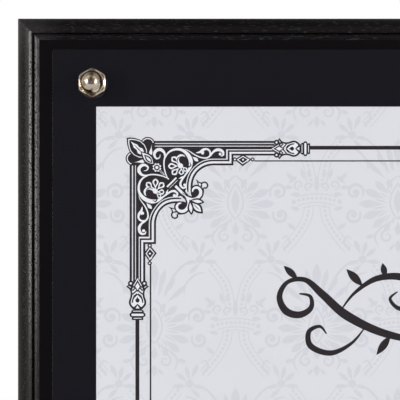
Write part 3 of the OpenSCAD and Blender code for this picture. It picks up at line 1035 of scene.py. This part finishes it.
def over_diagonal(p, q):
    """A level arm's point on the upright arm, where the outer band is wider and the drop lies further in."""
    outwards = BAND_WIDER * reached(q, 4.6, 4.1) * reached(p, 6.5, 8.5)
    inwards = DROP_FURTHER * reached(q, 7, 10) * reached(q, 14, 11) * reached(p, 18, 23)
    return q - outwards + inwards, p


def upright_finial(p, q):
    """The level finial's point on the upright arm, where the finial is larger."""
    (along, off), (upright_off, upright_along) = FINIAL_SPOT, UPRIGHT_FINIAL_SPOT
    wider, longer = UPRIGHT_FINIAL_GROWTH
    return upright_off + (q - off) * wider, upright_along + (p - along) * longer


def over_sheet(plate):
    """The print of the sheet's upper left quarter, mirrored to all four."""
    return plate.mirrored(lambda p, q: (SHEET_WIDTH - p, q)).mirrored(lambda p, q: (p, SHEET_HEIGHT - q))


def whole_border(corner, drop, end):
    """A corner with both its arms, mirrored to all four corners of the sheet."""
    both_arms = corner.added(drop).mirrored(over_diagonal).added(end.mirrored(upright_finial))
    return over_sheet(both_arms.moved(*BORDER_CORNER))


black_ink = ink_finish("black_ink", linear(22, 11, 11), linear(30, 18, 18), 0.5)
bare_paper = ink_finish("bare_paper", linear(232, 231, 234), linear(240, 239, 242), 0.6)
grey_tint = ink_finish("grey_tint", linear(210, 209, 213), linear(218, 217, 221), 0.6)

ink, bare = map(whole_border, corner_ornament(), diamond_drop(), finial())
rules = Plate()
right, down = BORDER_CORNER
for begin, (off, width), (upright_off, upright_width) in RULES:
    rules.line([(right + begin, down + off), (SHEET_WIDTH / 2, down + off)], width, 1, 0)
    upright = right + upright_off
    rules.line([(upright, down + begin), (upright, SHEET_HEIGHT / 2)], upright_width, 1, 0)
ink.added(over_sheet(rules)).added(flourish().moved(SHEET_WIDTH / 2, TITLE_LINE))
printed(laid("border_print", ink, black_ink, on_sheet))
printed(laid("border_bare", bare, bare_paper, on_sheet))


def damask_tree():
    """Motifs on a half-drop lattice, each with its four ribbons of small squares."""
    tree, given = new_tree("damask_lattice", {
        "Motif": "Object", "Ribbon": "Object", "Square": "Object", "Square pitch": "Float", "Start": "Vector",
        "Across": "Float", "Down": "Float", "Columns": "Int", "Rows": "Int", "Material": "Material",
    })
    wire = Wire(tree)
    motif, ribbon, square = (wire.node("GeometryNodeObjectInfo", {}, {"Object": given[name]}, out="Geometry")
                             for name in ("Motif", "Ribbon", "Square"))
    run = wire.node("GeometryNodeMeshToCurve", {}, {"Mesh": ribbon})
    beads = wire.node("GeometryNodeCurveToPoints", {"mode": "LENGTH"}, {
        "Curve": run, "Length": given["Square pitch"],
    })
    along, _, up = beads.other("Tangent").parts()
    turn = wire.node("ShaderNodeCombineXYZ", {}, {"Y": wire.maths("ARCTAN2", up, along) * -1.0})
    squares = wire.node("GeometryNodeInstanceOnPoints", {}, {
        "Points": beads, "Instance": square, "Rotation": turn,
    })
    cell = wire.node("GeometryNodeJoinGeometry", {}, {0: [motif, squares]})
    index = wire.node("GeometryNodeInputIndex")
    row = wire.maths("FLOOR", index / given["Columns"])
    column = wire.maths("MODULO", index, given["Columns"])
    step = wire.node("ShaderNodeCombineXYZ", {}, {
        "X": (column + wire.maths("MODULO", row, 2.0) * 0.5) * given["Across"],
        "Z": row * given["Down"] * -1.0,
    })
    spot = wire.node("ShaderNodeVectorMath", {"operation": "ADD"}, {0: given["Start"], 1: step})
    points = wire.node("GeometryNodeMeshLine", {}, {"Count": given["Columns"] * given["Rows"]})
    points = wire.node("GeometryNodeSetPosition", {}, {"Geometry": points, "Position": spot})
    cells = wire.node("GeometryNodeInstanceOnPoints", {}, {"Points": points, "Instance": cell})
    return end_tree(tree, cells, given["Material"])


def about_motif(p, q):
    """A place on a motif, from its middle, in the plaque's plan."""
    return p, -q


motif = damask_motif()
ribbon_points, ribbon_edges = [], []
for stretch in RIBBON:
    for hand in (1, -1):
        sides = pen_sides([(hand * p, q) for p, q in stretch], [2 * RIBBON_REACH] * len(stretch), 5)
        for side in zip(*sides):
            motif.line(side, RIBBON_LINE, 0, 0)
        first = len(ribbon_points)
        ribbon_points += [plan(p.x, -p.y, SHEET_FACE + FIRST_COAT) for p in ((a + b) / 2 for a, b in sides)]
        ribbon_edges += [(i, i + 1) for i in range(first, len(ribbon_points) - 1)]
ribbon_mesh = bpy.data.meshes.new("ribbon_run")
ribbon_mesh.from_pydata(ribbon_points, ribbon_edges, [])
ribbon_run = in_scene("ribbon_run", ribbon_mesh)
# The square lies at height 0, because the ribbon's points already stand on the sheet's face
square = Plate()
wide, tall = SQUARE_HALF
square.area([(-wide, -tall), (wide, -tall), (wide, tall), (-wide, tall)], -(SHEET_FACE + FIRST_COAT) / COAT)
one_square = laid("ribbon_square", square, grey_tint, about_motif)
one_motif = laid("damask_motif", motif, grey_tint, about_motif)
start = on_sheet(PALMETTE[0] - 2 * DAMASK_ACROSS, PALMETTE[1] - 2 * DAMASK_DOWN)
damask = grown("damask_print", damask_tree(), {
    "Motif": one_motif, "Ribbon": ribbon_run, "Square": one_square, "Square pitch": SQUARE_PITCH * MM,
    "Start": plan(*start, 0), "Across": DAMASK_ACROSS * MM, "Down": DAMASK_DOWN * MM,
    "Columns": CELLS, "Rows": CELLS, "Material": grey_tint,
})
for helper in (one_motif, one_square, ribbon_run):
    bpy.data.objects.remove(helper)
shape = bmesh.new()
shape.from_mesh(damask.data)
for edge, outward in ((SHEET_LOW, (-1, 0, 0)), (SHEET_LOW, (0, 0, -1)),
                      (SHEET_HIGH, (1, 0, 0)), (SHEET_HIGH, (0, 0, 1))):
    whole = shape.verts[:] + shape.edges[:] + shape.faces[:]
    inset = edge - Vector(outward) * EDGE_INSET * MM
    bmesh.ops.bisect_plane(shape, geom=whole, dist=1e-8, plane_co=inset, plane_no=outward, clear_outer=True)
shape.to_mesh(damask.data)
shape.free()
printed(damask)

# Cover
# A clear acrylic sheet a little smaller than the board, with four drilled holes. Its edges are milled,
# bevelled and flame polished, and the four cap nuts hold it against the certificate.
COVER_CORNER = 0.8
COVER_BEVEL = 0.12
COVER_HOLE = 4.77


def flat_part(name, outlines, low, high, bevel, material):
    """A flat part from closed outlines, inner ones being holes, with both faces' edges bevelled."""
    curve = bpy.data.curves.new(name, "CURVE")
    curve.dimensions = "2D"
    curve.fill_mode = "BOTH"
    curve.extrude = ((high - low) / 2 - bevel) * MM
    curve.bevel_depth = bevel * MM
    curve.offset = -bevel * MM
    curve.bevel_resolution = 0
    for outline in outlines:
        spline = curve.splines.new("POLY")
        spline.points.add(len(outline) - 1)
        for point, (x, z) in zip(spline.points, outline):
            point.co = (x * MM, z * MM, 0, 1)
        spline.use_cyclic_u = True
    holder = bpy.data.objects.new(name, curve)
    mesh = bpy.data.meshes.new_from_object(holder)
    bpy.data.objects.remove(holder)
    bpy.data.curves.remove(curve)
    mesh.transform(Matrix.Translation((0, -(low + high) / 2 * MM, 0)) @ Matrix.Rotation(math.pi / 2, 4, "X"))
    mesh.name = name
    sealed(mesh, 2e-3)
    return smoothed(name, mesh, material, sharp_over=25)


def circle(x, z, radius, sides=48):
    turns = [2 * math.pi * k / sides for k in range(sides)]
    return [(x + radius * math.cos(a), z + radius * math.sin(a)) for a in turns]


def rounded_oblong(width, height, corner, steps=6):
    """An oblong about the plan's middle, its corners rounded."""
    points = []
    for quarter, (right, up) in enumerate(((1, 1), (-1, 1), (-1, -1), (1, -1))):
        x, z = right * (width / 2 - corner), up * (height / 2 - corner)
        turns = [math.pi / 2 * (quarter + i / steps) for i in range(steps + 1)]
        points += [(x + corner * math.cos(a), z + corner * math.sin(a)) for a in turns]
    return points


def clear_acrylic():
    """Clear plastic to the eye, and open air to shadows and to mirrored or scattered light."""
    material, place = new_finish("clear_acrylic")
    wire = Wire(material.node_tree)
    smear = place.noise(30.0, 3.0)
    specks = ((place.noise(0.6, 1.0) - 0.80) * 6.0).clipped()
    clear = wire.node("ShaderNodeBsdfPrincipled", {}, {
        "Base Color": (0.985, 0.99, 1.0, 1.0),
        "Roughness": (smear * 0.012 + specks * 0.1).clipped(),
        "IOR": 1.49,
        "Transmission Weight": 1.0,
    })
    open_air = wire.node("ShaderNodeBsdfTransparent", {}, {"Color": (0.97, 0.98, 0.99, 1.0)})
    shadow = wire.node("ShaderNodeLightPath", out="Is Shadow Ray")
    through = shadow.greater(shadow.other("Is Diffuse Ray").greater(shadow.other("Is Glossy Ray")))
    mix = wire.node("ShaderNodeMixShader", {}, {0: through, 1: clear, 2: open_air})
    wire.node("ShaderNodeOutputMaterial", {}, {"Surface": mix})
    return material


cover_low, cover_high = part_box("cover")
cover_outline = rounded_oblong((cover_high.x - cover_low.x) / MM, (cover_high.z - cover_low.z) / MM,
                               COVER_CORNER)
cover_holes = [circle(*stud_place(corner), COVER_HOLE / 2) for corner in CORNERS]
cover = flat_part("clear_cover", [cover_outline] + cover_holes, -cover_high.y / MM, -cover_low.y / MM,
                  COVER_BEVEL, clear_acrylic())
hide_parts("cover")
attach(cover, "cover")

# Washers
# Thin moulded nylon washers that keep the nuts from marking the cover; smoky, and slightly blue.
# Their hole is as wide as the cover's, and both edges of the rim are broken.
WASHER_BEVEL = 0.12


def smoky_nylon():
    material, place = new_finish("nylon")
    cloud = place.noise(1.2, 3.0)
    return finished(material, {
        "Base Color": cloud.mixed(linear(36, 35, 44), linear(50, 49, 60)),
        "Roughness": (cloud * 0.2 + 0.3).clipped(),
        "Specular IOR Level": 0.3,
    })


nylon = smoky_nylon()
for corner in CORNERS:
    low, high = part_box(f"washer_{corner}")
    middle = stud_place(corner)
    outlines = [circle(*middle, (high.x - low.x) / 2 / MM, 64), circle(*middle, COVER_HOLE / 2)]
    washer = flat_part(f"nylon_washer_{corner}", outlines, -high.y / MM, -low.y / MM, WASHER_BEVEL, nylon)
    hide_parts(f"washer_{corner}")
    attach(washer, f"washer_{corner}")

# Cap nuts
# Hexagon nuts with a domed top, turned from brass bar and nickel plated. The hexagon's top edge keeps a
# bevel along its flats and the corners are turned off; the dome stands in a small fillet on the hexagon.
NUT_FLATS = 7.7
NUT_HEXAGON = 2.9
NUT_DOME = 3.2
NUT_BORE = 2.135
NUT_BORE_DEPTH = 5.1


def make_nut(corner, material):
    low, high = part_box(f"nut_{corner}")
    base, top = -high.y / MM, -low.y / MM
    flat = NUT_FLATS / 2
    corner_reach = (high.z - low.z) / 2 / MM

    def hexagon(a):
        """The hexagon's reach, a corner pointing up, with its corners just broken."""
        off = (a - math.pi / 2) % (math.pi / 3)
        return min(flat / math.cos(off - math.pi / 6), corner_reach - 0.16)

    def turned(a):
        """How much is turned off in this direction: nothing on the flats, most at the corners."""
        return 0.55 * max(0.0, hexagon(a) - flat - 0.10)

    levels = [
        (NUT_BORE_DEPTH + 0.45, 0.01),
        (NUT_BORE_DEPTH, NUT_BORE),
        (0.25, NUT_BORE),
        (0.0, NUT_BORE + 0.25),
        (0.0, flat - 0.22),
        (lambda a: 0.12 + turned(a) * 0.7, hexagon),
        (lambda a: NUT_HEXAGON - 0.42 - turned(a) * 0.6, hexagon),
        (lambda a: NUT_HEXAGON - 0.29 - turned(a), lambda a: hexagon(a) - 0.02),
        (lambda a: NUT_HEXAGON - 0.25 - turned(a) * 0.9, lambda a: hexagon(a) - 0.05),
        (lambda a: NUT_HEXAGON - 0.06 - turned(a) * 0.3, lambda a: hexagon(a) - 0.38 - turned(a) * 0.2),
        (NUT_HEXAGON - 0.03, lambda a: hexagon(a) - 0.43 - turned(a) * 0.4),
        (NUT_HEXAGON - 0.12, lambda a: min(hexagon(a) - 0.47, NUT_DOME + 0.16)),
        (NUT_HEXAGON - 0.06, NUT_DOME + 0.07),
        (NUT_HEXAGON + 0.08, NUT_DOME + 0.01),
    ]
    middle = top - base - NUT_DOME
    for i in range(17):
        turn = math.pi / 2 * i / 16
        levels.append((middle + NUT_DOME * math.sin(turn), max(NUT_DOME * math.cos(turn), 0.01)))
    points, faces = revolved(levels, 96, *stud_place(corner), base, first=0.5)
    return make_piece(f"cap_nut_{corner}", points, faces, material, sharp_over=18)


def polished_nickel():
    material, place = new_finish("polished_nickel")
    cloud = place.noise(2.6, 3.0)
    hairlines = place.noise(0.10, 2.0, (1.0, 9.0, 1.0))
    # Painted reflection: dark brown blotches in the base colour stand in for the dark parts of the room
    # mirrored in the dome, and are a little rougher
    painted_dark_reflection = ((place.noise(2.1, 3.0, (1.0, 1.0, 1.5)) - 0.48) * 6.0).clipped()
    return finished(material, {
        "Base Color": painted_dark_reflection.mixed(linear(226, 212, 190), linear(130, 108, 84)),
        "Metallic": 1.0,
        "Roughness": (painted_dark_reflection * 0.12 + hairlines * 0.06 + 0.10).clipped(),
        "Normal": (hairlines + cloud).bumps(0.10, 0.01),
    })


nickel = polished_nickel()
for corner in CORNERS:
    nut = make_nut(corner, nickel)
    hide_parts(f"nut_{corner}")
    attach(nut, f"nut_{corner}")

# Room
# The plaque stands on a pale floor, with two soft lamps in front, a weak one at the far left and a white
# background. What metal and lacquer mirror is a room that is dark above and lit at the sides.
FLOOR_REACH = ((-0.6, -0.42), (0.6, 0.33))
FLOOR_DROP = 0.0002
LAMP_AIM = (-0.12, -0.02, 0.09)
LAMP_DISTANCE = 1.2
LAMP_COLOUR = (1.0, 0.985, 0.96)
# Each lamp's name, its direction and rise as seen from the aim in degrees, its size, and its power
LAMPS = (
    ("left_lamp", -44, 3, (0.15, 0.48), 7.8),
    ("right_lamp", 50, 3, (0.15, 0.48), 6.8),
    ("side_lamp", -66.5, 8, (0.11, 0.28), 0.3),
)
WHITE = (1.0, 1.0, 1.0, 1.0)


def pale_floor():
    material, place = new_finish("pale_floor")
    return finished(material, {
        "Base Color": place.noise(180.0, 2.0).mixed(linear(232, 232, 232), linear(240, 240, 240)),
        "Roughness": 0.8,
    })


(left, front), (right, back) = FLOOR_REACH
under = cad_box[0][2] - FLOOR_DROP
floor_mesh = bpy.data.meshes.new("floor")
floor_corners = [(left, front, under), (right, front, under), (right, back, under), (left, back, under)]
floor_mesh.from_pydata(floor_corners, [], [(0, 1, 2, 3)])
floor_mesh.materials.append(pale_floor())
in_scene("floor", floor_mesh)

for name, side, rise, size, power in LAMPS:
    light = bpy.data.lights.new(name, "AREA")
    light.shape = "RECTANGLE"
    light.size, light.size_y = size
    light.energy = power
    light.color = LAMP_COLOUR
    rise, turn = math.radians(rise), math.radians(side)
    towards = Vector((math.sin(turn) * math.cos(rise), -math.cos(turn) * math.cos(rise), math.sin(rise)))
    lamp = in_scene(name, light)
    lamp.location = Vector(LAMP_AIM) + towards * LAMP_DISTANCE
    lamp.rotation_euler = towards.to_track_quat("Z", "Y").to_euler()

world = bpy.data.worlds.new("white_room")
bpy.context.scene.world = world
world.use_nodes = True
world.node_tree.nodes.clear()
air = Wire(world.node_tree)
camera_ray = air.node("ShaderNodeLightPath", out="Is Camera Ray")
seen = camera_ray.greater(camera_ray.other("Is Transmission Ray"))
across, ahead, _ = air.node("ShaderNodeTexCoord", out="Generated").parts()
sideways = across.size()
behind = ((ahead - 0.86) * 9.0).clipped()
aside = ((ahead + 0.90) * 5.0).clipped()
belt = aside * ((-0.28 - ahead) * 7.0).clipped()
dim = sideways.mixed((0.050, 0.048, 0.050, 1.0), (0.500, 0.480, 0.460, 1.0))
bright = sideways.mixed((0.260, 0.240, 0.215, 1.0), (1.150, 1.080, 0.980, 1.0))
in_front = aside.mixed((0.155, 0.158, 0.226, 1.0), belt.mixed(dim, bright))
mirrored_room = behind.mixed(in_front, WHITE)
unseen = camera_ray.other("Is Glossy Ray").mixed((0.36, 0.36, 0.37, 1.0), mirrored_room)
backdrop = air.node("ShaderNodeBackground", {}, {"Color": seen.mixed(unseen, WHITE), "Strength": 1.0})
air.node("ShaderNodeOutputWorld", {}, {"Surface": backdrop})

# Camera
# It looks straight at the wall from close by, a little above and left of the plaque's middle, so that the
# upper left quarter fills the picture with a white band along its top and left.
CAMERA_LENS = 84.1
CAMERA_PLACE = (-0.1104, -0.2909, 0.07885)

camera_data = bpy.data.cameras.new("camera")
camera_data.sensor_width = 36
camera_data.lens = CAMERA_LENS
camera_data.clip_start = 0.01
camera = in_scene("camera", camera_data)
camera.location = CAMERA_PLACE
camera.rotation_euler = (math.radians(90), 0, 0)
bpy.context.scene.camera = camera
bpy.context.scene.view_settings.view_transform = "Standard"
